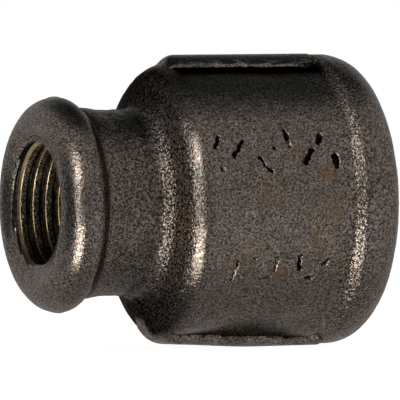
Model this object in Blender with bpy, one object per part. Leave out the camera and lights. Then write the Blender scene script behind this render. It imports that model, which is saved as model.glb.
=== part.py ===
"""Reducing coupling: one malleable-iron casting, tapped for 1/4 inch pipe at one end and 1/2 inch
at the other.

The pipe axis runs along X with the small end towards -X, and the two casting ribs lie above and below.
The origin is on the axis, half-way along. Distances "from the small face" run towards +X.
"""

import math

import bmesh
import bpy
from mathutils import Matrix, Vector

MM = 0.001

# Outside of the casting.
LENGTH = 36.0 * MM
SMALL_BEAD_R = 11.0 * MM
SMALL_BEAD_WIDTH = 3.5 * MM
BEAD_FOOT_R = 9.95 * MM
BEAD_FOOT = 4.7 * MM
NECK_R = 9.6 * MM
NECK_START = 7.4 * MM
NECK_END = 10.9 * MM
BARREL_R = 14.4 * MM
BARREL_START = 13.5 * MM
LARGE_BEAD_R = 15.2 * MM
LARGE_BEAD_WIDTH = 6.3 * MM
BEAD_RISE = 1.3 * MM

# Cast fillets and rounded edges of the outside, from the small face to the large one.
SMALL_BEAD_FRONT_FILLET = 2.2 * MM
SMALL_BEAD_BACK_FILLET = 2.0 * MM
BEAD_FOOT_FILLET = 1.5 * MM
NECK_FILLET = 4.0 * MM
SHOULDER_FILLET = 4.3 * MM
LARGE_BEAD_STEP_FILLET = 1.2 * MM
LARGE_BEAD_FILLET = 3.5 * MM

# Ribs along the parting line. They stand just proud of the large bead.
RIB_TOP_R = 15.3 * MM
RIB_WIDTH = 5.6 * MM
RIB_START = 13.3 * MM
RIB_END = LENGTH - 4.6 * MM
RIB_ROOT_R = 12.4 * MM
RIB_END_ROUNDING = 2.2 * MM
RIB_EDGE_BEVEL = 0.5 * MM

# Mouths: a flat land, rounded in to the rim, and a 45 degree lead-in inside it.
SMALL_LAND_R = 8.0 * MM
SMALL_RIM_R = 7.15 * MM
SMALL_RIM_DEPTH = 0.55 * MM
LARGE_LAND_R = 11.05 * MM
LARGE_RIM_R = 10.95 * MM
LARGE_RIM_DEPTH = 0.1 * MM

# Taper pipe threads, 1 in 16 on the diameter, with 60 degree flanks. Their height and the flat at their
# root are shares of the pitch. The height is low because the cored hole is wide, which leaves flat crests.
TAPER = 1 / 32
SMALL_PITCH = 25.4 * MM / 18
SMALL_MAJOR_R = 6.81 * MM
SMALL_BORE_DEPTH = 11.2 * MM
LARGE_PITCH = 25.4 * MM / 14
LARGE_MAJOR_R = 10.61 * MM
LARGE_BORE_DEPTH = 14.2 * MM
THREAD_HEIGHT = 0.38
ROOT_FLAT = 0.08
FLANK = math.tan(math.radians(30))
CUTTER_OVERLAP = 0.3 * MM

# Cored passage between the two sockets.
PASSAGE_R = 5.3 * MM
PASSAGE_END = 14.6 * MM
POCKET_R = 9.1 * MM
POCKET_START = 18.4 * MM
CORE_FILLET = 1.5 * MM

SEGMENTS = 40
ARC_STEP = math.radians(24)
SMOOTH_ANGLE = math.radians(35)


def crest_radius(major_r, pitch, depth=0.0):
    """Radius of the flat crests of an internal thread at this depth inside its mouth."""
    return major_r - THREAD_HEIGHT * pitch - TAPER * depth


def rounded(corners):
    """Points round a closed outline of (x, r, fillet) corners, with each fillet drawn as an arc."""
    points = []
    for i, (x, r, fillet) in enumerate(corners):
        corner = Vector((x, r))
        before = Vector(corners[i - 1][:2]) - corner
        after = Vector(corners[(i + 1) % len(corners)][:2]) - corner
        if fillet == 0:
            points.append(corner)
            continue
        half = before.angle(after) / 2
        centre = corner + (before.normalized() + after.normalized()).normalized() * fillet / math.sin(half)
        spoke = corner + before.normalized() * fillet / math.tan(half) - centre
        turn = (math.pi - 2 * half) * (1 if before.cross(after) < 0 else -1)
        steps = max(2, round(abs(turn) / ARC_STEP))
        points += [centre + Matrix.Rotation(turn * k / steps, 2) @ spoke for k in range(steps + 1)]
    return points


def outer_corners():
    """Outline of the outside, from the small face to the large face."""
    rise = LENGTH - LARGE_BEAD_WIDTH
    return [
        (0.0, SMALL_LAND_R, 0.0),
        (0.0, SMALL_BEAD_R, SMALL_BEAD_FRONT_FILLET),
        (SMALL_BEAD_WIDTH, SMALL_BEAD_R, SMALL_BEAD_BACK_FILLET),
        (BEAD_FOOT, BEAD_FOOT_R, BEAD_FOOT_FILLET),
        (NECK_START, NECK_R, 0.0),
        (NECK_END, NECK_R, NECK_FILLET),
        (BARREL_START, BARREL_R, SHOULDER_FILLET),
        (rise, BARREL_R, LARGE_BEAD_STEP_FILLET),
        (rise + BEAD_RISE, LARGE_BEAD_R, LARGE_BEAD_STEP_FILLET),
        (LENGTH, LARGE_BEAD_R, LARGE_BEAD_FILLET),
        (LENGTH, LARGE_LAND_R, 0.0),
    ]


def inner_corners():
    """Outline of the inside before threading, from the large mouth back to the small one."""
    large_lead = LARGE_RIM_R - crest_radius(LARGE_MAJOR_R, LARGE_PITCH)
    small_lead = SMALL_RIM_R - crest_radius(SMALL_MAJOR_R, SMALL_PITCH)
    large_deep_r = crest_radius(LARGE_MAJOR_R, LARGE_PITCH, LARGE_BORE_DEPTH)
    small_deep_r = crest_radius(SMALL_MAJOR_R, SMALL_PITCH, SMALL_BORE_DEPTH)
    large_rim_x = LENGTH - LARGE_RIM_DEPTH
    return [
        (large_rim_x, LARGE_RIM_R, 0.0),
        (large_rim_x - large_lead, LARGE_RIM_R - large_lead, 0.0),
        (LENGTH - LARGE_BORE_DEPTH, large_deep_r, 0.0),
        (LENGTH - LARGE_BORE_DEPTH, POCKET_R, 0.0),
        (POCKET_START, POCKET_R, CORE_FILLET),
        (PASSAGE_END, PASSAGE_R, CORE_FILLET),
        (SMALL_BORE_DEPTH + small_deep_r - PASSAGE_R, PASSAGE_R, 0.0),
        (SMALL_BORE_DEPTH, small_deep_r, 0.0),
        (SMALL_RIM_DEPTH + small_lead, SMALL_RIM_R - small_lead, 0.0),
        (SMALL_RIM_DEPTH, SMALL_RIM_R, 0.0),
    ]


def new_object(name, bm):
    """A mesh object from this bmesh, with its faces pointing out and its round stretches shaded smooth."""
    bmesh.ops.recalc_face_normals(bm, faces=bm.faces)
    mesh = bpy.data.meshes.new(name)
    bm.to_mesh(mesh)
    bm.free()
    mesh.shade_smooth()
    mesh.set_sharp_from_angle(angle=SMOOTH_ANGLE)
    obj = bpy.data.objects.new(name, mesh)
    bpy.context.collection.objects.link(obj)
    return obj


def turned_blank(name):
    """The casting as a turned ring: its outside and its bores, with neither ribs nor threads."""
    bm = bmesh.new()
    outline = [Vector((p.x - LENGTH / 2, 0, p.y)) for p in rounded(outer_corners() + inner_corners())]
    verts = [bm.verts.new(p) for p in outline]
    edges = [bm.edges.new((verts[i - 1], verts[i])) for i in range(len(verts))]
    bmesh.ops.spin(
        bm,
        geom=verts + edges,
        cent=(0, 0, 0),
        axis=(1, 0, 0),
        angle=2 * math.pi,
        steps=SEGMENTS,
        use_merge=True,
    )
    return new_object(name, bm)


def rib(name, side):
    """One rib, as a slab with a rounded small end and bevelled long edges. side is 1 above, -1 below."""
    bm = bmesh.new()
    corners = [
        (RIB_START, RIB_ROOT_R, 0.0),
        (RIB_START, RIB_TOP_R, RIB_END_ROUNDING),
        (RIB_END, RIB_TOP_R, 0.0),
        (RIB_END, RIB_ROOT_R, 0.0),
    ]
    outline = [Vector((p.x - LENGTH / 2, -RIB_WIDTH / 2, side * p.y)) for p in rounded(corners)]
    face = bm.faces.new([bm.verts.new(p) for p in outline])
    made = bmesh.ops.extrude_face_region(bm, geom=[face])["geom"]
    moved = [v for v in made if isinstance(v, bmesh.types.BMVert)]
    bmesh.ops.translate(bm, verts=moved, vec=(0, RIB_WIDTH, 0))
    bm.normal_update()
    long_edges = [e for e in bm.edges if is_outer_edge(e)]
    bmesh.ops.bevel(bm, geom=long_edges, offset=RIB_EDGE_BEVEL, segments=1, affect="EDGES")
    return new_object(name, bm)


def is_outer_edge(edge):
    """Whether a rib's edge runs along one of its sides, clear of its root."""
    along_side = abs(edge.verts[0].co.y - edge.verts[1].co.y) < RIB_WIDTH / 2
    return along_side and all(abs(v.co.z) > RIB_ROOT_R + RIB_EDGE_BEVEL for v in edge.verts)


def thread_cutter(name, mouth_x, inward, major_r, pitch, bore_depth):
    """The groove of one internal thread, as a closed coil.

    It starts a turn outside the mouth and winds right-handed along inward, which is 1 or -1 in X.
    Over its last turn it sinks below the crests, so the thread runs out.
    """
    height = THREAD_HEIGHT * pitch
    root_half = ROOT_FLAT * pitch / 2
    base_half = root_half + (height + CUTTER_OVERLAP) * FLANK
    turns = (bore_depth - 2 * base_half) / pitch + 1
    rings = int(turns * SEGMENTS)
    bm = bmesh.new()
    sections = []
    for k in range(rings + 1):
        depth = (k / SEGMENTS - 1) * pitch
        run_out = max(0.0, 1 - (rings - k) / SEGMENTS)
        tip_r = major_r - TAPER * depth - run_out * (height + CUTTER_OVERLAP / 2)
        base_r = crest_radius(major_r, pitch, depth) - CUTTER_OVERLAP - run_out * CUTTER_OVERLAP
        angle = -inward * 2 * math.pi * k / SEGMENTS
        section = [(-base_half, base_r), (-root_half, tip_r), (root_half, tip_r), (base_half, base_r)]
        sections.append(
            [
                bm.verts.new((mouth_x + inward * (depth + x), r * math.sin(angle), r * math.cos(angle)))
                for x, r in section
            ]
        )
    for a, b in zip(sections, sections[1:]):
        for i in range(4):
            bm.faces.new((a[i - 1], a[i], b[i], b[i - 1]))
    bm.faces.new(sections[0])
    bm.faces.new(sections[-1])
    return new_object(name, bm)


def combine(target, other, operation):
    """Joins or cuts target with a helper, which is then kept out of the model."""
    modifier = target.modifiers.new(other.name, "BOOLEAN")
    modifier.operation = operation
    modifier.solver = "EXACT"
    modifier.object = other
    other.hide_render = True
    other.display_type = "WIRE"


def black_iron():
    """As-cast black malleable iron: dark warm grey with a dull metallic sheen."""
    material = bpy.data.materials.new("black_malleable_iron")
    material.use_nodes = True
    shader = material.node_tree.nodes["Principled BSDF"]
    shader.inputs["Base Color"].default_value = (0.065, 0.054, 0.048, 1)
    shader.inputs["Metallic"].default_value = 0.6
    shader.inputs["Roughness"].default_value = 0.5
    return material


def build():
    for obj in list(bpy.data.objects):
        bpy.data.objects.remove(obj)
    body = turned_blank("coupling_body")
    body.data.materials.append(black_iron())
    combine(body, rib("rib_above", 1), "UNION")
    combine(body, rib("rib_below", -1), "UNION")
    small = thread_cutter(
        "small_thread", -LENGTH / 2, 1, SMALL_MAJOR_R, SMALL_PITCH, SMALL_BORE_DEPTH
    )
    combine(body, small, "DIFFERENCE")
    large = thread_cutter(
        "large_thread", LENGTH / 2, -1, LARGE_MAJOR_R, LARGE_PITCH, LARGE_BORE_DEPTH
    )
    combine(body, large, "DIFFERENCE")


build()
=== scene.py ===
"""The looks of a reducing coupling: one black malleable-iron casting with two tapped sockets.

One dense mesh stands for the CAD casting. Its outside is a turned grid, its sockets are grids whose rows
follow the thread, and ribs, pattern marks and sand grain are moved into it. Shapes are in millimetres until
the mesh is made. Depth runs from a mouth into the fitting, and s runs from the small face to the large one.
"""

import math

import bmesh
import bpy
import numpy as np
from mathutils import Matrix, Vector, noise


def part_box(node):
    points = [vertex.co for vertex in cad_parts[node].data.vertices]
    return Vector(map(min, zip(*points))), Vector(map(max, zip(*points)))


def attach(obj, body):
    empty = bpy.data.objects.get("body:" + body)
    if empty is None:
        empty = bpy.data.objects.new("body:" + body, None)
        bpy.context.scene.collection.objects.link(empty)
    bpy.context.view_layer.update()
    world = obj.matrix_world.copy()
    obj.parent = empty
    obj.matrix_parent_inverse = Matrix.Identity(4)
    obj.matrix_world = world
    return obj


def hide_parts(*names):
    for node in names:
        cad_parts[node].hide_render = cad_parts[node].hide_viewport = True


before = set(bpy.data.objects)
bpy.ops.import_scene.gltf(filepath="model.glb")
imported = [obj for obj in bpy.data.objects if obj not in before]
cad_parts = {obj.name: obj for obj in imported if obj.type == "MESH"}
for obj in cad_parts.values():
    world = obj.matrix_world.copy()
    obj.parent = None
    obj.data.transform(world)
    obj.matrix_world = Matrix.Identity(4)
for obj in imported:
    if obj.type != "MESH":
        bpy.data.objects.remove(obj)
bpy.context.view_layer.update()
low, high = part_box("coupling_body")

MM = 0.001
LENGTH = (high[0] - low[0]) / MM
RIB_R = high[2] / MM

# The outside, as (s, r, fillet) corners from the small rim to the large one.
SMALL_RIM = (0.45, 7.20)
LARGE_RIM = (0.25, 10.95)
BARREL_R = 14.4
BEAD_R = 15.2
OUTSIDE = [
    (*SMALL_RIM, 0.0),
    (0.25, 7.75, 0.5),
    (0.0, 8.35, 0.5),
    (0.0, 11.15, 2.8),
    (3.45, 11.15, 1.7),
    (4.6, 10.05, 1.0),
    (7.4, 9.6, 0.0),
    (11.5, 9.6, 2.0),
    (13.05, BARREL_R, 2.8),
    (LENGTH - 5.85, BARREL_R, 0.9),
    (LENGTH - 4.50, BEAD_R, 1.0),
    (LENGTH, BEAD_R, 3.5),
    (LENGTH, 11.2, 0.3),
    (LENGTH - LARGE_RIM[0], LARGE_RIM[1], 0.0),
]
ROW_STEP = 0.27
COLUMNS = 320
ARC_STEP = math.radians(4)

# Threads: (share of the pitch, height above the root as a share of the thread's height).
THREAD_SECTION = [
    (0.00, 0.86), (0.035, 1.0), (0.12, 1.0), (0.24, 1.0), (0.36, 1.0), (0.445, 1.0), (0.48, 0.86),
    (0.58, 0.43), (0.70, 0.0), (0.78, 0.0), (0.88, 0.34), (0.94, 0.60),
]
CREST_ROWS = range(1, 5)
ROOT_ROWS = range(5, 10)
THREAD_HEIGHT = 0.38
TAPER = 1 / 32
COUNTERSINK = 2.6  # how far a countersink's wall comes in, per millimetre of depth
RIM_RING = 0.02
LOW_ARC = (-2.74, -0.40)
SMALL_THREAD = {"pitch": 25.4 / 18, "major": 6.81, "rim": SMALL_RIM, "end": 11.2, "start_turn": 0.54}
LARGE_THREAD = {"pitch": 25.4 / 14, "major": 10.61, "rim": LARGE_RIM, "end": 14.2, "start_turn": 0.3}

# The cored passage between the sockets, as (s, r, fillet) corners.
PASSAGE = [(11.9, 5.3, 0.4), (14.6, 5.3, 1.5), (18.4, 9.1, 1.5), (LENGTH - 14.2, 9.1, 0.0)]
PASSAGE_STEP = 0.6

# Ribs along the parting line, above and below. The mould halves don't quite meet, so each quarter has its
# own (start, corner rounding in plan).
RIB_HALF_WIDTH = 3.0
RIB_QUARTERS = {
    "top near": (13.3, 0.8),
    "top far": (13.6, 2.6),
    "low near": (12.7, 2.2),
    "low far": (12.4, 0.8),
}
TOP_ROLL = (2.7, 1.1)
LOW_ROLL = (1.3, 0.5)
RIB_RAMP = 3.0
RIB_RAMP_DROP = 1.5
RIB_RAMP_POWER = 2.9
RIB_END = 31.0
LOW_RIB_DIP = 0.45

# Generic pattern marks on the near side, as strokes (s, arc, s, arc, half width, depth). The arc is measured
# up the barrel from its middle. A flake of torn flash at the top rib's foot is a raised stroke.
MARKS = [
    (15.1, 5.5, 15.7, 6.8, 0.20, 0.40),
    (15.6, 3.3, 15.7, 3.2, 0.18, 0.25),
    (17.0, 4.6, 18.3, 6.3, 0.20, 0.50),
    (19.8, 4.5, 20.4, 3.5, 0.18, 0.35),
    (20.7, 3.2, 21.0, 3.0, 0.24, 0.40),
    (21.7, 5.4, 21.7, 5.5, 0.22, 0.45),
    (23.1, 7.4, 23.4, 5.7, 0.24, 0.50),
    (24.9, 3.7, 25.8, 5.2, 0.24, 0.60),
    (26.6, 6.0, 27.1, 6.9, 0.26, 0.55),
    (28.3, 4.4, 28.35, 3.5, 0.36, 0.55),
    (17.2, -8.7, 17.5, -6.6, 0.14, 0.35),
    (19.4, -6.3, 19.5, -6.2, 0.16, 0.30),
    (20.3, -8.7, 21.4, -8.3, 0.14, 0.30),
    (21.8, -7.7, 22.0, -6.6, 0.14, 0.35),
    (24.4, -6.2, 24.6, -7.6, 0.22, 0.50),
    (25.6, -8.7, 26.3, -8.6, 0.24, 0.45),
    (27.2, -7.2, 27.6, -6.5, 0.22, 0.45),
]
FLAKES = [(29.0, 18.5, 30.7, 19.3, 0.34, 0.38)]
MARK_MARGIN = 0.30

# Rust stains on the near side, as (s, arc, reach, strength).
STAINS = [
    (27.4, 2.6, 1.8, 0.9), (27.8, -0.8, 2.4, 0.6), (26.3, -4.4, 2.2, 0.5), (22.6, -8.3, 1.6, 0.7),
    (18.5, -5.6, 2.2, 0.4), (16.0, -7.6, 1.3, 0.5), (20.8, 1.0, 3.0, 0.2), (28.9, -7.6, 1.4, 0.7),
]

CAST, TAPPED, CREST, ROOT = range(4)
# The very dark colour of painted shade.
SHADE_COLOUR = (0.012, 0.011, 0.010)


def smooth(start, stop, x):
    """0 at start, 1 at stop, and a smooth step between."""
    t = np.clip((x - start) / (stop - start), 0, 1)
    return t * t * (3 - 2 * t)


def bell(x, middle, reach):
    """1 at middle, falling smoothly to 0 at this distance from it."""
    return 1 - smooth(0, reach, np.abs(x - middle))


def grain(points, size, octaves=2, seed=0):
    """Soft noise, roughly -1 to 1, with features of this size."""
    offset = Vector((seed * 17.3, seed * 5.9, seed * 11.7))
    return np.array([noise.fractal(Vector(p) / size + offset, 0.8, 2.0, octaves) for p in points.tolist()])


def rounded(corners):
    """Points along an open outline of (s, r, fillet) corners, with each fillet drawn as an arc."""
    points = []
    for i, (s, r, fillet) in enumerate(corners):
        corner = Vector((s, r))
        if fillet == 0 or i in (0, len(corners) - 1):
            points.append(corner)
            continue
        before = (Vector(corners[i - 1][:2]) - corner).normalized()
        after = (Vector(corners[i + 1][:2]) - corner).normalized()
        half = before.angle(after) / 2
        centre = corner + (before + after).normalized() * fillet / math.sin(half)
        spoke = corner + before * fillet / math.tan(half) - centre
        turn = (math.pi - 2 * half) * (1 if before.cross(after) < 0 else -1)
        steps = max(2, round(abs(turn) / ARC_STEP))
        points += [centre + Matrix.Rotation(turn * k / steps, 2) @ spoke for k in range(steps + 1)]
    return np.array([tuple(p) for p in points])


def evenly(points, step):
    """The same outline with its points about this far apart."""
    along = np.concatenate([[0], np.cumsum(np.linalg.norm(np.diff(points, axis=0), axis=1))])
    wanted = np.linspace(0, along[-1], round(along[-1] / step) + 1)
    return np.stack([np.interp(wanted, along, points[:, k]) for k in (0, 1)], axis=1)


def column_angles():
    """Angles of the outside's columns round the axis, closer together at the feet of the two ribs."""
    angle = np.linspace(-np.pi, np.pi, 14401)
    from_rib = np.degrees(np.abs(np.abs(angle) - np.pi / 2))
    density = 1 + 3 * bell(from_rib, 11.8, 4.5)
    passed = np.concatenate([[0], np.cumsum((density[1:] + density[:-1]) / 2)])
    return np.interp(np.arange(COLUMNS) / COLUMNS * passed[-1], passed, angle)


ANGLES = column_angles()
INNER_ANGLES = ANGLES[::2]


def ring(s, r, angles):
    """Points at this s and r, at each angle round the axis."""
    return np.stack([s + 0 * angles, r * np.cos(angles), r * np.sin(angles)], axis=-1)


def turned(outline, angles):
    """Vertices and faces of an outline turned round the axis, as a grid that is open at both ends."""
    columns = len(angles)
    verts = ring(outline[:, :1], outline[:, 1:], angles[None, :]).reshape(-1, 3)
    row, column = np.mgrid[0 : len(outline) - 1, 0:columns]
    a = row * columns + column
    b = row * columns + (column + 1) % columns
    return verts, np.stack([a, b, b + columns, a + columns], axis=2).reshape(-1, 4).tolist()


def thread_radius(depth, height_share, pitch, major, rim, end):
    """Radius of the tapped wall: it runs out over its last turns, and a countersink cuts the first."""
    height = THREAD_HEIGHT * pitch
    crest = major - height - TAPER * depth
    cut = (1 - height_share) * height * (1 - smooth(end - 2.2 * pitch, end - 0.8 * pitch, depth))
    lead_in = rim[1] - COUNTERSINK * (depth - rim[0])
    return np.maximum(crest + cut, lead_in), lead_in > crest + cut


def socket(pitch, major, rim, end, start_turn):
    """Vertices, faces and materials of one right-hand tapped socket, from its rim to its inner end.

    The countersink shows torn metal, and on its lower side, LOW_ARC, the skin of the casting. The rows follow
    the thread. Where one would pass the rim or the end it is held there, and its points
    fall together and merge later.
    """
    turn = (INNER_ANGLES / (2 * np.pi) - start_turn) % 1
    order = np.argsort(turn)
    turn, angles = turn[order], INNER_ANGLES[order]
    columns, per_turn = len(turn), len(THREAD_SECTION)
    start = rim[0] + RIM_RING
    rows = (math.ceil((end - start) / pitch) + 1) * per_turn + 1
    j = np.arange(rows)
    share, height_share = np.array(THREAD_SECTION)[j % per_turn].T
    depth = start + pitch * ((j // per_turn - 1 + share)[:, None] + turn[None, :])
    depth = np.clip(depth, start, end)
    radius, in_lead = thread_radius(depth, height_share[:, None], pitch, major, rim, end)
    verts = ring(depth, radius, angles[None, :]).reshape(-1, 3)
    faces, materials = [], []
    for row in range(rows - 1):
        for column in range(columns):
            a, b = row * columns + column, row * columns + column + 1
            if column == columns - 1:
                if row + per_turn + 1 >= rows:
                    continue
                b = (row + per_turn) * columns
            faces.append((a, a + columns, b + columns, b))
            step = row % per_turn
            tapped = CREST if step in CREST_ROWS else ROOT if step in ROOT_ROWS else TAPPED
            if in_lead[row, column] and in_lead[row + 1, column]:
                tapped = CAST if LOW_ARC[0] < angles[column] < LOW_ARC[1] else CREST
            materials.append(tapped)
    return verts, faces, materials


def rim_join(rim):
    """A narrow ring from the outside's columns to half as many just inside the rim."""
    outer = ring(rim[0], rim[1], ANGLES)
    inner = ring(rim[0] + RIM_RING, rim[1] - COUNTERSINK * RIM_RING, INNER_ANGLES)
    faces = []
    for k in range(len(inner)):
        a, b, c = 2 * k, 2 * k + 1, (2 * k + 2) % COLUMNS
        inside, after = COLUMNS + k, COLUMNS + (k + 1) % len(inner)
        faces += [(a, inside, b), (b, inside, after, c)]
    return np.concatenate([outer, inner]), faces


def strokes(marks, s, arc):
    """How deep these marks are at each s and arc, and how far off the nearest edge of a mark is."""
    depth = np.zeros_like(s)
    edge = np.full_like(s, 99.0)
    for s1, arc1, s2, arc2, half_width, full in marks:
        run, rise = s2 - s1, arc2 - arc1
        along = np.clip(((s - s1) * run + (arc - arc1) * rise) / (run**2 + rise**2), 0, 1)
        distance = np.hypot(s - s1 - along * run, arc - arc1 - along * rise)
        depth = np.maximum(depth, full * (1 - smooth(0.45 * half_width, 1.25 * half_width, distance)))
        edge = np.minimum(edge, distance - half_width)
    return depth, edge


def arc_of(points):
    """Distance up the barrel from its middle, on the near side, and far away on the far side."""
    arc = BARREL_R * np.arctan2(points[:, 2], -points[:, 1])
    return np.where(points[:, 1] < 0, arc, 99.0)


def body_bmesh():
    """The closed smooth casting in millimetres, before ribs, marks and grain."""
    bm = bmesh.new()

    def add(verts, faces, materials=None, flip=False):
        """Adds a grid. flip puts it at the large end, turned half a turn about Z."""
        if flip:
            verts = verts * (-1, -1, 1) + (LENGTH, 0, 0)
        made = [bm.verts.new(v) for v in verts - (LENGTH / 2, 0, 0)]
        for k, face in enumerate(faces):
            bm.faces.new([made[i] for i in face]).material_index = materials[k] if materials else CAST

    add(*turned(evenly(rounded(OUTSIDE), ROW_STEP), ANGLES))
    for thread, flip in ((SMALL_THREAD, False), (LARGE_THREAD, True)):
        add(*rim_join(thread["rim"]), flip=flip)
        add(*socket(**thread), flip=flip)
    first_r, last_r = (
        t["major"] - THREAD_HEIGHT * t["pitch"] - TAPER * t["end"] for t in (SMALL_THREAD, LARGE_THREAD)
    )
    core = evenly(rounded([(SMALL_THREAD["end"], first_r, 0.0), *PASSAGE]), PASSAGE_STEP)
    add(*turned(np.concatenate([core, [(PASSAGE[-1][0], last_r)]]), INNER_ANGLES))
    bmesh.ops.remove_doubles(bm, verts=bm.verts, dist=0.002)
    bmesh.ops.dissolve_degenerate(bm, edges=bm.edges, dist=0.0005)
    bmesh.ops.holes_fill(bm, edges=bm.edges, sides=4)
    bmesh.ops.recalc_face_normals(bm, faces=bm.faces)

    centres = np.array([tuple(f.calc_center_median()) for f in bm.faces])
    outside = np.hypot(centres[:, 1], centres[:, 2]) > BARREL_R - 1
    edge = strokes(MARKS + FLAKES, centres[:, 0] + LENGTH / 2, arc_of(centres))[1]
    near = [f for f, n in zip(bm.faces[:], outside & (edge < MARK_MARGIN)) if n]
    edges = {e for f in near for e in f.edges}
    bmesh.ops.subdivide_edges(bm, edges=list(edges), cuts=2, use_grid_fill=True)
    return bm


def rib_height(s, y, z):
    """Height above the axis of the ribs' skin: it climbs off the shoulder and dies into the large bead."""
    near = 1 - smooth(-0.15, 0.15, y)
    start, corner = (
        np.where(
            z > 0,
            near * RIB_QUARTERS["top near"][k] + (1 - near) * RIB_QUARTERS["top far"][k],
            near * RIB_QUARTERS["low near"][k] + (1 - near) * RIB_QUARTERS["low far"][k],
        )
        for k in (0, 1)
    )
    end_side, long_side = start + corner - s, np.abs(y) - (RIB_HALF_WIDTH - corner)
    outside = np.hypot(np.maximum(end_side, 0), np.maximum(long_side, 0))
    inset = corner - outside - np.minimum(np.maximum(end_side, long_side), 0)
    climb = np.clip((s - start) / RIB_RAMP, 0, 1)
    top = RIB_R - RIB_RAMP_DROP * (1 - climb) ** RIB_RAMP_POWER
    dip = LOW_RIB_DIP * (1 - smooth(14, 24, s))
    top = top - 5.0 * smooth(RIB_END, RIB_END + 3.5, s) - (z < 0) * dip
    reach = np.where(z > 0, TOP_ROLL[0], LOW_ROLL[0])
    drop = np.where(z > 0, TOP_ROLL[1], LOW_ROLL[1]) * np.clip(1 - inset / reach, 0, 1) ** 2
    return top - drop - 6.0 * np.maximum(-inset, 0)


def shaped(points, normals):
    """The points with the ribs, seams, marks and grain of the casting moved into them, with the painted shade
    and the rust for the material.
    """
    s = points[:, 0] + LENGTH / 2
    y, z = points[:, 1], points[:, 2]
    r = np.hypot(y, z)
    outside = np.where(s < 14, r > SMALL_RIM[1] - 0.01, (r > 12) | (s > LENGTH - LARGE_RIM[0] - 0.01))
    outside = outside.astype(float)
    wander = grain(points * (1, 1, 0.2), 2.2, 2, 1)
    coarse = grain(points, 1.1, 3, 2)
    fine = grain(points, 0.55, 2, 3)
    waves = grain(points, 7.0, 2, 4)
    side_y = np.abs(y)
    upper = z > 0
    nose = np.where(upper, 13.8, 13.0)
    tail = np.where(upper, RIB_END - 0.6, RIB_END - 3.0)
    on_rib_line = smooth(nose, nose + 1.0, s) * (1 - smooth(tail, RIB_END + 0.3, s))

    # Sand grain: coarse on the neck and shoulder, finer on the barrel, and almost none on the beads.
    neck = smooth(4.2, 5.6, s) * (1 - smooth(12.5, 15.0, s))
    barrel = smooth(13.5, 15.0, s)
    rim = smooth(SMALL_RIM[1], SMALL_RIM[1] + 0.6, r)
    move = outside * rim * (0.05 * waves + (0.010 + 0.024 * neck + 0.010 * barrel) * coarse)
    move += outside * rim * (0.004 + 0.012 * neck + 0.006 * barrel) * fine

    # The crease behind the small bead, and the mismatch of the two mould halves on the shoulder.
    move -= outside * 0.13 * bell(s, 4.75 + 0.12 * wander, 0.38)
    far_half = bell(s, 11.3, 3.2) * smooth(-0.10, 0.12, y) * (1 - smooth(4.0, 8.0, y))
    wrinkles = grain(points * (0.4, 1.8, 0.4), 0.9, 2, 6)
    move += outside * np.where(z > 0, 0.09 * wrinkles - 0.05, 0.24) * far_half
    flash = bell(y, 0.0, 0.34) * (1 - smooth(11.5, 13.0, s)) * smooth(1.0, 2.4, s)
    move += outside * flash * (0.07 + 0.05 * wander)

    # The barrel's lower side is full beside the rib, so the rib hardly stands out at its large end.
    low_side = ~upper & (y < 0) & (np.abs(z) > 9)
    move += outside * low_side * 0.50 * smooth(16, 28, s) * (1 - smooth(29.0, 31.0, s)) * bell(side_y, 3.4, 4.5)

    # The groove along each rib's foot, and the marks.
    foot = RIB_HALF_WIDTH + 0.35 + 0.12 * wander
    ragged = np.clip(0.75 + 0.9 * coarse, 0, 1.3)
    groove = bell(side_y, foot, 0.50) * on_rib_line * (np.abs(z) > 12)
    move -= outside * groove * np.where(upper, 0.50, 0.40) * ragged
    arc = arc_of(points)
    depth, edge = strokes(MARKS, s + 0.18 * fine, arc + 0.18 * grain(points, 0.6, 2, 5))
    depth = depth * np.clip(0.9 + 0.7 * coarse, 0.3, 1)
    burr = 0.06 * bell(edge, 0.12, 0.24) * (1 + coarse)
    flake = strokes(FLAKES, s + 0.2 * fine, arc + 0.2 * coarse)[0]
    marked = outside * (r > BARREL_R - 1)
    move += marked * (burr - depth + flake)

    # Painted shade and rust for the material. The painted shade is very dark colour put where shadow falls:
    # along the barrel under each rib's foot, in the crack under the lower rib, in the seam of the mould halves,
    # in the crease behind the small bead and on the bead's back, on the neck, round the shoulder's fillet and
    # on its slope, and inside the marks.
    # Painted shadow: a dark band along the barrel under each rib's foot, full to gone, wide and long on the
    # near side and under the lower rib's middle.
    lens = bell(s, 21.5, 8.0)
    near = y < 0
    full = foot + np.where(upper, 0.3 + 1.6 * near, 0.4 + 1.4 * lens * near)
    gone = foot + np.where(upper, 1.2 + 3.1 * near, 1.0 + 4.2 * lens * near)
    shade = smooth(foot - 0.3, foot, side_y) * (1 - smooth(full, gone, side_y)) * on_rib_line * (np.abs(z) > 9)
    # Painted shade on the shoulder's slope, strongest towards the top and bottom.
    slope = smooth(10.4, 11.6, s) * (1 - smooth(13.0, 14.6, s)) * (0.05 + 0.70 * smooth(4, 11, np.abs(z)))
    # Painted shade in the crack under the lower rib.
    crack = bell(side_y, foot + 0.1 + 0.25 * coarse, 0.55) * on_rib_line * ~upper * (np.abs(z) > 9)
    # Painted shade in the gap where the mould halves meet, under the shoulder.
    seam = bell(y, -0.15, 0.45) * ~upper * smooth(10.6, 11.4, s) * (1 - smooth(13.2, 13.8, s))
    # All of these are painted shade: under the ribs, the crack, the seam, the crease behind the small bead, the
    # bead's back, the neck, both sides of the shoulder's fillet, and the slope.
    shaded_places = (
        np.where(upper, 0.9, 0.7) * shade,
        crack,
        seam,
        0.65 * bell(s, 4.75 + 0.12 * wander, 0.40),
        0.22 * bell(s, 3.9, 1.1),
        0.22 * neck,
        0.42 * bell(s, 10.0, 1.4) * np.clip(0.8 + 0.8 * coarse, 0, 1.3),
        0.34 * bell(s, 11.1, 1.0),
        slope,
    )
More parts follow.
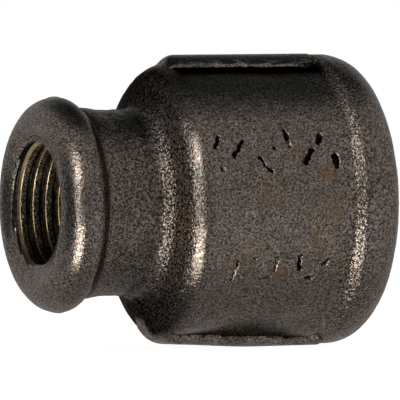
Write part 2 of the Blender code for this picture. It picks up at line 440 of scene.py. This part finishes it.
    # The marks' grooves get painted shade too, as deep as they are cut.
    painted_shade = np.maximum(np.clip(depth / 0.30, 0, 1) * marked, outside * np.maximum.reduce(shaded_places))
    rust = np.zeros_like(s)
    for s0, arc0, reach, strength in STAINS:
        rust = np.maximum(rust, strength * bell(np.hypot(s - s0, arc - arc0), 0, reach))
    moved = points + normals * move[:, None]
    moved[:, 0] += outside * np.where(z > 0, 0.38, 0.20) * bell(s, 12.4, 4.0) * smooth(-0.10, 0.12, y)

    # The small bead sits a little askew and low on its socket.
    bead = outside * smooth(SMALL_RIM[1], 9.5, r) * (1 - smooth(3.0, 6.0, s))
    moved[:, 0] -= bead * 0.02 * y
    moved[:, 2] -= bead * 0.12

    # The ribs are lifted straight up or down, so their sides stand upright.
    lift = np.clip(rib_height(s, y, z) - np.abs(moved[:, 2]), 0, None) * outside * (side_y < 4.5) * (s > 12)
    moved[:, 2] += np.sign(z) * lift
    rib_side = bell(side_y, RIB_HALF_WIDTH - 0.05, 0.28) * on_rib_line * (np.abs(moved[:, 2]) > 13)
    moved[:, 1] += np.sign(y) * outside * rib_side * (0.14 + 0.16 * coarse + 0.10 * fine)
    rib_edge = bell(side_y, RIB_HALF_WIDTH - 0.15, 0.6) * on_rib_line * (lift > 0.02)
    moved[:, 2] += np.sign(z) * outside * rib_edge * (0.16 * coarse + 0.08 * fine)
    # The painted shade fades where the ribs are lifted, slowly on the lower rib.
    return moved, painted_shade * (1 - smooth(0.03, np.where(upper, 0.06, 0.40), lift)), rust * marked


def casting_mesh():
    """The finished casting as an object, in metres."""
    bm = body_bmesh()
    mesh = bpy.data.meshes.new("coupling_casting")
    bm.to_mesh(mesh)
    bm.free()
    points = np.empty(len(mesh.vertices) * 3)
    normals = np.empty(len(mesh.vertices) * 3)
    mesh.vertices.foreach_get("co", points)
    mesh.vertex_normals.foreach_get("vector", normals)
    points, painted_shade, rust = shaped(points.reshape(-1, 3), normals.reshape(-1, 3))
    mesh.vertices.foreach_set("co", (points * MM).ravel())
    # The first attribute carries the painted shade to the material, the second the rust stains.
    for name, values in (("painted_shade", painted_shade), ("rust", rust)):
        mesh.attributes.new(name, "FLOAT", "POINT").data.foreach_set("value", values)
    mesh.shade_smooth()
    mesh.update()
    casting = bpy.data.objects.new("coupling_casting", mesh)
    bpy.context.collection.objects.link(casting)
    return casting


class Nodes:
    """A small helper that adds nodes to a material or world and links them."""

    def __init__(self, owner):
        owner.use_nodes = True
        self.tree = owner.node_tree
        self.tree.nodes.clear()

    def add(self, kind, inputs=None, **settings):
        """A node with these settings. Its inputs are values, or outputs of other nodes to link."""
        node = self.tree.nodes.new(kind)
        for name, value in settings.items():
            setattr(node, name, value)
        for name, value in (inputs or {}).items():
            if isinstance(value, bpy.types.NodeSocket):
                self.tree.links.new(value, node.inputs[name])
            else:
                node.inputs[name].default_value = value
        return node

    def noise(self, size, detail=2.0, roughness=0.55, stretch=(1, 1, 1), **inputs):
        """Noise on the object's own coordinates with features of this size in millimetres."""
        place = self.add("ShaderNodeTexCoord").outputs["Object"]
        place = self.add("ShaderNodeMapping", {"Vector": place, "Scale": stretch}).outputs["Vector"]
        inputs = {"Vector": place, "Scale": 1 / (size * MM), "Detail": detail, "Roughness": roughness, **inputs}
        return self.add("ShaderNodeTexNoise", inputs).outputs["Fac"]

    def ramp(self, fac, *stops):
        """A colour ramp of (position, colour or grey level) stops."""
        node = self.add("ShaderNodeValToRGB", {"Fac": fac})
        elements = node.color_ramp.elements
        while len(elements) < len(stops):
            elements.new(1.0)
        for element, (position, colour) in zip(elements, stops):
            element.position = position
            colour = (colour,) * 3 if isinstance(colour, (int, float)) else colour
            element.color = (*colour, 1.0)
        return node.outputs["Color"]

    def mix(self, fac, a, b, blend="MIX"):
        """Two colours mixed."""
        node = self.add("ShaderNodeMix", data_type="RGBA", blend_type=blend)
        for index, value in ((0, fac), (6, a), (7, b)):
            if isinstance(value, bpy.types.NodeSocket):
                self.tree.links.new(value, node.inputs[index])
            else:
                node.inputs[index].default_value = value if index == 0 else (*value, 1.0)
        return node.outputs[2]

    def maths(self, operation, a, b=0.0):
        """A Math node of two values."""
        node = self.add("ShaderNodeMath", operation=operation)
        for index, value in ((0, a), (1, b)):
            if isinstance(value, bpy.types.NodeSocket):
                self.tree.links.new(value, node.inputs[index])
            else:
                node.inputs[index].default_value = value
        return node.outputs[0]

    def bump(self, height, distance, normal=None, strength=1.0):
        """A bump of this height in millimetres, on top of another."""
        inputs = {"Height": height, "Distance": distance * MM, "Strength": strength}
        if normal is not None:
            inputs["Normal"] = normal
        return self.add("ShaderNodeBump", inputs).outputs["Normal"]

    def surface(self, **inputs):
        """The Principled shader, linked to the output."""
        shader = self.add("ShaderNodeBsdfPrincipled", inputs)
        self.add("ShaderNodeOutputMaterial", {"Surface": shader.outputs[0]})


def cast_iron():
    """Black as-cast malleable iron: sand-grained, oily dark, with brown and faint rust staining. It takes the
    painted shade from the mesh, and has painted glints and painted shade in sand pits in its coarse grain.
    """
    material = bpy.data.materials.new("black_cast_iron")
    n = Nodes(material)
    # The grain is coarsest on the neck and the shoulder's slope.
    place = n.add("ShaderNodeTexCoord").outputs["Object"]
    x = n.add("ShaderNodeSeparateXYZ", {0: place}).outputs[0]
    x = n.add("ShaderNodeMapRange", {0: x, 1: -LENGTH / 2 * MM, 2: LENGTH / 2 * MM}).outputs[0]
    coarse = n.ramp(
        x, (0.11, 0.15), (0.17, 0.6), (0.30, 0.7), (0.32, 1.0), (0.35, 0.9), (0.37, 0.18),
        (0.78, 0.18), (0.83, 0.7), (0.88, 0.6), (0.93, 0.2),
    )

    speck = n.noise(0.20, 2.0, 0.65)
    patch = n.noise(1.2, 3.0, 0.6)
    cloud = n.noise(7.0, 3.0, 0.5)
    tone = n.ramp(speck, (0.36, (0.04, 0.035, 0.032)), (0.47, (0.26, 0.217, 0.183)), (0.64, (0.75, 0.62, 0.53)))
    tone = n.mix(n.ramp(patch, (0.35, 0.0), (0.70, 0.45)), tone, (0.17, 0.155, 0.145))
    hue = n.noise(0.32, 2.0, 0.6)
    hue = n.ramp(hue, (0.36, (0.90, 0.99, 1.08)), (0.50, (1, 1, 1)), (0.64, (1.12, 0.98, 0.88)))
    tone = n.mix(1.0, tone, hue, "MULTIPLY")
    stain = n.ramp(cloud, (0.52, 0.0), (0.70, 0.5))
    stain = n.maths("MULTIPLY", stain, n.ramp(patch, (0.45, 0.0), (0.62, 1.0)))
    tone = n.mix(stain, tone, (0.30, 0.17, 0.09))
    rust = n.add("ShaderNodeAttribute", attribute_name="rust").outputs["Fac"]
    rust = n.maths("MULTIPLY", rust, n.ramp(patch, (0.34, 0.0), (0.52, 1.0)))
    tone = n.mix(rust, tone, n.ramp(n.noise(0.8), (0.42, (0.26, 0.21, 0.08)), (0.58, (0.52, 0.25, 0.15))))
    sand = n.noise(0.25, 2.0, 0.6)
    # Painted shade in sand pits: dark specks where the grain is coarse.
    pit_shade = n.maths("MULTIPLY", n.ramp(sand, (0.42, 1.0), (0.48, 0.0)), coarse)
    # Painted glints: bright specks mixed into the colour as highlights, where the grain is coarse.
    painted_glints = n.maths("MULTIPLY", n.ramp(sand, (0.53, 0.0), (0.60, 0.5)), coarse)
    tone = n.mix(pit_shade, tone, SHADE_COLOUR)
    tone = n.mix(painted_glints, tone, (0.9, 0.75, 0.64))
    # Painted shade from the mesh: the colour goes very dark there, and the reflection's tint goes dark too, so
    # these places hardly reflect the lights.
    painted_shade = n.add("ShaderNodeAttribute", attribute_name="painted_shade").outputs["Fac"]
    tone = n.mix(painted_shade, tone, SHADE_COLOUR)
    edge = n.mix(painted_shade, (1, 1, 1), (0, 0, 0))
    rough = n.ramp(patch, (0.30, 0.17), (0.70, 0.28))

    large = n.maths("MULTIPLY", n.noise(0.75, 2.0, 0.5), coarse)
    small = n.maths("MULTIPLY", n.noise(0.30, 2.0, 0.6), coarse)
    normal = n.bump(large, 0.13)
    normal = n.bump(small, 0.15, normal)
    normal = n.bump(n.noise(0.16, 1.0, 0.5), 0.018, normal)
    n.surface(**{
        "Base Color": tone, "Metallic": 1.0, "Roughness": rough, "Specular Tint": edge, "Normal": normal,
    })
    return material


def darkened_by_height(n, tone):
    """The same tone, darker towards the bottom of a socket and a little darker near its top."""
    place = n.add("ShaderNodeTexCoord").outputs["Object"]
    z = n.add("ShaderNodeSeparateXYZ", {0: place}).outputs[2]
    z = n.add("ShaderNodeMapRange", {0: z, 1: -8 * MM, 2: 8 * MM}).outputs[0]
    shade = n.ramp(z, (0.15, 0.06), (0.36, 0.55), (0.50, 0.9), (0.62, 1.0), (0.88, 1.0), (0.95, 0.5))
    return n.mix(1.0, tone, shade, "MULTIPLY")


def tapped_iron():
    """Bright cut flanks of the thread in an oily golden tone, darker towards the bottom of the socket."""
    material = bpy.data.materials.new("tapped_iron")
    n = Nodes(material)
    tone = n.ramp(n.noise(0.5, 2.0, 0.5), (0.35, (0.70, 0.44, 0.22)), (0.65, (1.0, 0.78, 0.46)))
    tone = darkened_by_height(n, tone)
    rough = n.ramp(n.noise(0.4, 2.0, 0.5), (0.3, 0.20), (0.7, 0.32))
    normal = n.bump(n.noise(0.12, 2.0, 0.5, stretch=(1, 0.3, 0.3)), 0.006)
    n.surface(**{"Base Color": tone, "Metallic": 1.0, "Roughness": rough, "Normal": normal})
    return material


def thread_crest():
    """Crests of the thread, where the cored skin of the casting still shows: torn and speckled."""
    material = bpy.data.materials.new("torn_thread_crest")
    n = Nodes(material)
    speck = n.noise(0.20, 2.0, 0.6)
    tone = n.ramp(speck, (0.40, (0.02, 0.02, 0.018)), (0.52, (0.34, 0.31, 0.26)), (0.64, (1.0, 0.90, 0.72)))
    tone = darkened_by_height(n, tone)
    normal = n.bump(n.noise(0.25, 2.0, 0.6), 0.13)
    n.surface(**{"Base Color": tone, "Metallic": 1.0, "Roughness": 0.36, "Normal": normal})
    return material


def thread_root():
    """Roots of the thread, with very dark colour as painted shade deep between the flanks."""
    material = bpy.data.materials.new("shaded_thread_root")
    n = Nodes(material)
    tone = n.ramp(n.noise(0.4, 2.0, 0.5), (0.4, (0.010, 0.009, 0.008)), (0.65, (0.05, 0.042, 0.032)))
    n.surface(**{"Base Color": tone, "Metallic": 1.0, "Roughness": 0.35})
    return material


# The view: from the small end's side, level, with the fitting lying a little uphill to the right.
VIEW_AZIMUTH = -22.57
VIEW_DISTANCE = 0.626
VIEW_LENS = 540
VIEW_ROLL = -1.09
AIM_RIGHT = 0.79
AIM_UP = 0.11


def direction(azimuth, elevation):
    """Unit vector from the fitting towards this azimuth and elevation, in degrees. Azimuth 0 is -Y."""
    a, e = math.radians(azimuth), math.radians(elevation)
    return Vector((math.sin(a) * math.cos(e), -math.cos(a) * math.cos(e), math.sin(e)))


def camera():
    """The camera, at the viewing angle named above."""
    back = direction(VIEW_AZIMUTH, 0)
    up = Vector((0, 0, 1))
    right = up.cross(back)
    aim = (right * AIM_RIGHT + up * AIM_UP) * MM
    turn = Matrix((right, up, back)).transposed().to_4x4() @ Matrix.Rotation(math.radians(VIEW_ROLL), 4, "Z")
    data = bpy.data.cameras.new("camera")
    data.lens = VIEW_LENS
    made = bpy.data.objects.new("camera", data)
    made.matrix_world = Matrix.Translation(aim + back * VIEW_DISTANCE) @ turn
    bpy.context.collection.objects.link(made)
    bpy.context.scene.camera = made


def soft_box(name, azimuth, elevation, across, tall, radiance, colour, lean=0, distance=0.5):
    """A soft box that fills this many degrees across and tall, seen from the fitting, and leans to one side."""
    data = bpy.data.lights.new(name, "AREA")
    data.shape = "RECTANGLE"
    data.size = 2 * distance * math.tan(math.radians(across / 2))
    data.size_y = 2 * distance * math.tan(math.radians(tall / 2))
    data.energy = radiance * math.pi * data.size * data.size_y
    data.color = colour
    made = bpy.data.objects.new(name, data)
    towards = direction(azimuth, elevation)
    turn = towards.to_track_quat("Z", "Y").to_matrix().to_4x4() @ Matrix.Rotation(math.radians(lean), 4, "Z")
    made.matrix_world = Matrix.Translation(towards * distance) @ turn
    bpy.context.collection.objects.link(made)


# Black flags round the set: (azimuth from the view, elevation, inner and outer radius, how dark), in degrees.
FLAGS = [
    (180, 66, 5, 49, 0.91),
    (-76, 0, 12, 30, 0.75),
    (0, -85, 20, 60, 0.30),
    (-2, 0, 10, 28, 0.32),
    (53, -38, 8, 40, -0.25),
]
TENT_LIGHT = 0.27


def surroundings():
    """The world: a pale tent with black flags, and white where the camera sees it."""
    world = bpy.data.worlds.new("tent")
    bpy.context.scene.world = world
    n = Nodes(world)
    ray = n.add("ShaderNodeTexCoord").outputs["Generated"]
    light = TENT_LIGHT
    for azimuth, elevation, inner, outer, dark in FLAGS:
        towards = direction(VIEW_AZIMUTH + azimuth, elevation)
        dot = n.add("ShaderNodeVectorMath", {0: ray, 1: towards}, operation="DOT_PRODUCT").outputs["Value"]
        limits = {1: math.cos(math.radians(outer)), 2: math.cos(math.radians(inner)), 3: 1.0, 4: 1 - dark}
        flag = n.add("ShaderNodeMapRange", {0: dot, **limits}, interpolation_type="SMOOTHSTEP").outputs[0]
        light = n.maths("MULTIPLY", flag, light)
    tint = n.ramp(light, (0.03, (0.80, 0.98, 1.0)), (0.20, (1.0, 1.0, 1.0)))
    tent = n.add("ShaderNodeBackground", {"Color": tint, "Strength": light})
    white = n.add("ShaderNodeBackground", {"Color": (1, 1, 1, 1), "Strength": 1.0})
    seen = n.add("ShaderNodeLightPath").outputs["Is Camera Ray"]
    both = n.add("ShaderNodeMixShader", {0: seen, 1: tent.outputs[0], 2: white.outputs[0]})
    n.add("ShaderNodeOutputWorld", {"Surface": both.outputs[0]})


def floor():
    """A plain white floor under the lower rib, which doesn't light the fitting."""
    bpy.ops.mesh.primitive_plane_add(size=2.0, location=(0, 0, low[2]))
    made = bpy.context.object
    made.name = "floor"
    material = bpy.data.materials.new("white_paper")
    n = Nodes(material)
    n.surface(**{
        "Base Color": (0.8, 0.8, 0.8, 1), "Roughness": 1.0, "Specular IOR Level": 0.0,
        "Emission Color": (1, 1, 1, 1), "Emission Strength": 0.90,
    })
    made.data.materials.append(material)
    made.visible_diffuse = made.visible_glossy = made.visible_shadow = False


camera()
casting = casting_mesh()
for material in (cast_iron(), tapped_iron(), thread_crest(), thread_root()):
    casting.data.materials.append(material)
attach(casting, "root")
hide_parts("coupling_body")
print("triangles", sum(len(p.vertices) - 2 for p in casting.data.polygons))

soft_box("upper_left_box", VIEW_AZIMUTH - 37, 29, 22, 26, 2.6, (1.0, 0.99, 0.97))
soft_box("left_wall", VIEW_AZIMUTH - 37, -2, 16, 36, 1.0, (1.0, 0.98, 0.95))
soft_box("lower_left_box", VIEW_AZIMUTH - 33, -36, 20, 30, 4.2, (1.0, 0.96, 0.90), lean=-20)
surroundings()
floor()
bpy.context.scene.view_settings.view_transform = "Standard"
